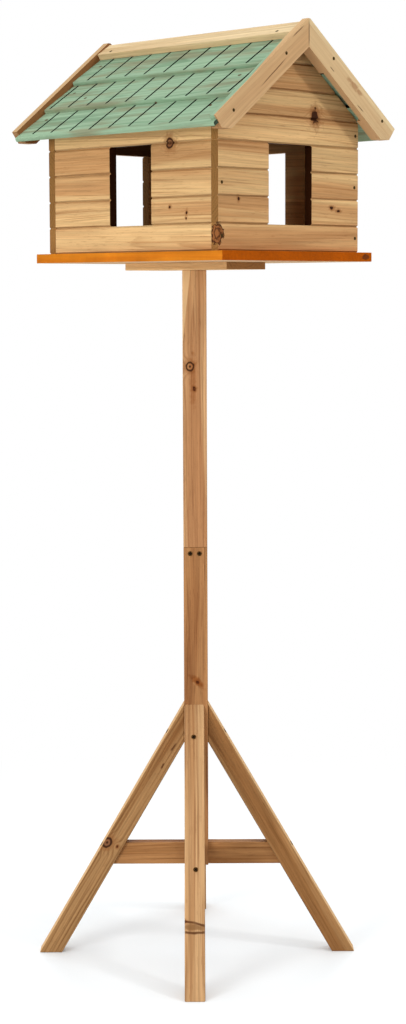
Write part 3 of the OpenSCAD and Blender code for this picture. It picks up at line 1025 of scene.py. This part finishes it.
# Bargeboards: plain fir boards nailed to the roof's four sloping ends, with a plumb mitre at the apex.
# Their inner sides and the cleats there are darker, and the same colour lies on their undersides and
# upper edges as painted shade. The mitres stand a little open, two boards have fine drying cracks, and
# the roof's green stain has run over the right end's upper edges towards the eaves.
BARGE_EASE = 0.001
BARGE_THICK = 0.012
BARGE_RING_DEPTH = 0.45
TAN = (211, 176, 130), (196, 157, 113), (172, 129, 87)
PALE = (228, 202, 156), (215, 183, 137), (180, 137, 94)
PALE_INNER = (198, 158, 113)
# The inner sides' darker colour, also laid on the undersides and upper edges as painted shade.
BARGE_INNER_AND_SHADE = (140, 94, 56)
BARGE_CONTRAST = 0.5
UNDERSIDE_SHADE = 0.5
UPPER_EDGE_SHADE = 0.1
STAIN_START = 0.2
STAIN_FULL = 0.62
STAIN_DROP = 0.01
STAIN_DEEP, STAIN_THIN = 0.0006, 0.0002
BARE_RIM = 0.0026
HALF_SOFT = 0.001
DROP_SOFT = 0.001
RIM_SOFT = -0.0003, 0.0005
INNER_SHARE, FLECK_HALO = 0.5, 0.5
LOOKS_ASIDE = 0.1
CRACK_WIDTH, CRACK_WOBBLE = 0.0011, 0.0012
MITRE_WIDTH = 0.0014
MITRE_TOP, MITRE_FOOT = 1.5435, 1.4995
barge_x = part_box("right_front_bargeboard")[1].x
rear_down = slopes["rear", "upper"][1]
barge_cracks = {
    "right_front_bargeboard": [((barge_x, -0.0497, 1.482), (barge_x, -0.1114, 1.431)),
                               ((barge_x, -0.0105, 1.533), (barge_x, -0.0387, 1.5121))],
    "right_rear_bargeboard": [((barge_x, 0.049, 1.474), (barge_x, 0.06, 1.466)),
                              ((barge_x, 0.1144, 1.419), (barge_x, 0.131, 1.4076))],
}
barge_flecks = {
    "right_rear_bargeboard": [((barge_x, 0.0967, 1.4562), 0.0022, 2.0, rear_down),
                              ((barge_x, 0.1091, 1.4469), 0.003, 2.0, rear_down),
                              ((barge_x, 0.1199, 1.4384), 0.0024, 2.0, rear_down)],
}


def run_over(tree, colour, node, facing, down, away, streak):
    """A colour with the roof's stain on the board's upper edge, wider towards the eave."""
    upper = furthest(node, facing)
    first = -furthest(node, -down)
    last = furthest(node, down)
    start = first + STAIN_START * (last - first)
    full = first + STAIN_FULL * (last - first)
    at = place_on(tree)
    height = reach_along(tree, at, facing)
    along = reach_along(tree, at, down)
    behind = sums(tree, "SUBTRACT", barge_x, reach_along(tree, at, away))
    bare = add(tree, "MapRange", along, start, full, BARGE_THICK, BARE_RIM)[0]
    on_edge = ramp(tree, height, upper - STAIN_DEEP, upper - STAIN_THIN)
    on_end = ramp(tree, along, last - STAIN_DEEP, last - STAIN_THIN)
    near_top = ramp(tree, height, upper - STAIN_DROP, upper - STAIN_DROP + DROP_SOFT)
    wetted = sums(tree, "MAXIMUM", on_edge, sums(tree, "MULTIPLY", on_end, near_top))
    past_rim = ramp(tree, sums(tree, "SUBTRACT", behind, bare), *RIM_SOFT)
    stain = streaked(tree, tint(GREEN)[:3], streak)
    return mixed(tree, sums(tree, "MULTIPLY", wetted, past_rim), colour, stain)


for end, away in (("right", ALONG), ("left", -ALONG)):
    mitre = [(away * barge_x + UP * MITRE_TOP, away * barge_x + UP * MITRE_FOOT)]
    for side in ("front", "rear"):
        node = f"{end}_{side}_bargeboard"
        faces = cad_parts[node].data.polygons
        upper = [face for face in faces if LOOKS_UP < face.normal.z < LOOKS_LEVEL]
        upper = [face for face in upper if abs(face.normal.x) < LOOKS_ASIDE]
        facing = max(upper, key=lambda face: face.area).normal.copy()
        down = down_slope(side, facing)
        woods = TAN if side == "front" else PALE
        finish, tree, wood, colour = timber(f"fir_{node}", woods, FINE_RING, BARGE_RING_DEPTH,
                                            end_wood=woods[2], shade=BARGE_INNER_AND_SHADE, contrast=BARGE_CONTRAST)
        if side == "rear":
            half = sum(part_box(node), Vector()).dot(facing) / 2
            height = reach_along(tree, place_on(tree), facing)
            lower_half = ramp(tree, height, half + HALF_SOFT, half - HALF_SOFT)
            colour = painted(tree, colour, PALE_INNER, lower_half, INNER_SHARE)
        for spec in barge_flecks.get(node, ()):
            colour = painted(tree, colour, KNOT_HALO, knot_in(tree, spec)["Halo"], FLECK_HALO)
        colour = lined(tree, colour, barge_cracks.get(node, ()), CRACK_WIDTH, CRACK_WOBBLE)
        colour = lined(tree, colour, mitre, MITRE_WIDTH, 0.0)
        if end == "right":
            colour = run_over(tree, colour, node, facing, down, away, wood["Streak"])
        varnish(tree, colour, wood)

        def shaded(centre, normal):
            """How dark a face of this board is: the darker inner side, and painted shade on the underside and
            the upper edge.
            """
            if normal.dot(away) < -FACES:
                return 1.0
            if normal.dot(facing) < -FACES:
                return UNDERSIDE_SHADE
            return UPPER_EDGE_SHADE if normal.dot(facing) > FACES else 0.0

        fit(node, ease(welded(node), BARGE_EASE), down, away, finish, mark_of=shaded)

# Barge and ridge nails: the same round heads of dark steel as in the walls.
# Two hold each bargeboard to the roof's end, and two hold each ridge board, near its ends.
BARGE_NAILS = (-0.052, 1.487), (-0.169, 1.394), (0.058, 1.487), (0.177, 1.396)
RIDGE_NAILS = -0.196, 0.187
RIDGE_NAIL_DOWN = 0.015
trim_places = both_ends(BARGE_NAILS, barge_x)
for side in ("front", "rear"):
    facing, down, top = slopes[side, "upper"]
    ridge_top = furthest(f"{side}_ridge_board", facing)
    for x in RIDGE_NAILS:
        place = apex + ALONG * x + down * RIDGE_NAIL_DOWN
        trim_places.append((place + facing * (ridge_top - place.dot(facing)), facing))
heads("trim_nails", nail_head(), trim_places, rusty)

# Studio: a pale floor that keeps the soft contact shadows and fades to white away from the feet.
# A broad key light stands at the front left, a smaller one at the right and one behind, and even
# light comes from all round, brighter from overhead.
FLOOR_SIZE = 9.0
FLOOR_DROP = 0.0002
FADE_START, FADE_END, FADE_LEAST = 0.45, 1.5, 0.16
FLOOR_LIT = (0.66, 0.66, 0.66, 1.0)
FLOOR_SEEN = (0.87, 0.905, 0.925, 1.0)
WHITE = (1.0, 1.0, 1.0, 1.0)
AMBIENT = 0.28
OVERHEAD = 1.5
SKY_RISE = 0.3


def seen_by(tree):
    """Whether a ray comes from the camera, or from gloss or glass that shows the background."""
    rays = add(tree, "LightPath")
    mirrored = sums(tree, "MAXIMUM", rays["Is Glossy Ray"], rays["Is Transmission Ray"])
    return sums(tree, "MAXIMUM", rays["Is Camera Ray"], mirrored)


floor_mesh = bpy.data.meshes.new("studio_floor")
disc = bmesh.new()
bmesh.ops.create_circle(disc, cap_ends=True, segments=96, radius=FLOOR_SIZE)
disc.to_mesh(floor_mesh)
disc.free()
floor = bpy.data.objects.new("studio_floor", floor_mesh)
floor.location = (0, 0, -FLOOR_DROP)
scene.collection.objects.link(floor)
floor_paint = bpy.data.materials.new("studio_floor")
floor_paint.use_nodes = True
tree = floor_paint.node_tree
tree.nodes.clear()
distance = add(tree, "VectorMath", place_on(tree), operation="LENGTH")[1]
fade = ramp(tree, distance, FADE_START, FADE_END, FADE_LEAST, 1.0)
seen = seen_by(tree)
paint = add(tree, "BsdfDiffuse", mixed(tree, seen, FLOOR_LIT, FLOOR_SEEN))[0]
glow = add(tree, "Emission", WHITE, 1.0)[0]
blend = add(tree, "MixShader", sums(tree, "MULTIPLY", fade, seen), paint, glow)[0]
tree.links.new(blend, tree.nodes.new("ShaderNodeOutputMaterial").inputs["Surface"])
floor_mesh.materials.append(floor_paint)

world = bpy.data.worlds.new("studio_light")
scene.world = world
world.use_nodes = True
tree = world.node_tree
tree.nodes.clear()
height = add(tree, "SeparateXYZ", add(tree, "TexCoord")[0])[2]
soft = add(tree, "Background", WHITE, ramp(tree, height, SKY_RISE, 1.0, AMBIENT, OVERHEAD))[0]
white = add(tree, "Background", WHITE, 1.0)[0]
blend = add(tree, "MixShader", seen_by(tree), soft, white)[0]
tree.links.new(blend, tree.nodes.new("ShaderNodeOutputWorld").inputs["Surface"])

LAMP_AIM = Vector((0.0, 0.0, 1.0))
lamps = {
    "key": (Vector((0.5, -4.5, 1.6)), 93.0, 1.8),
    "fill": (Vector((2.75, 0.7, 2.5)), 23.0, 0.5),
    "back": (Vector((-2.6, 2.6, 2.4)), 36.0, 1.5),
}
for name, (place, power, width) in lamps.items():
    light = bpy.data.lights.new(name, "AREA")
    light.shape = "DISK"
    light.size = width
    light.energy = power
    lamp = bpy.data.objects.new(name, light)
    lamp.location = place
    lamp.rotation_euler = (LAMP_AIM - place).to_track_quat("-Z", "Y").to_euler()
    scene.collection.objects.link(lamp)

# Camera: at the photograph's place, a little below the house and facing the stand's front leg.
# It looks slightly down at the whole stand, through a long lens.
CAMERA_PLACE = (2.4442, -2.4554, 1.1262)
LOOK_DOWN, ROLL, TURN = 6.10, 0.21, 45 - 0.1334
lens = bpy.data.cameras.new("camera")
lens.lens = 73.26
lens.sensor_width = 36.0
camera = bpy.data.objects.new("camera", lens)
camera.location = CAMERA_PLACE
camera.rotation_euler = (math.radians(90 - LOOK_DOWN), math.radians(ROLL), math.radians(TURN))
scene.collection.objects.link(camera)
scene.camera = camera
scene.view_settings.view_transform = "Standard"
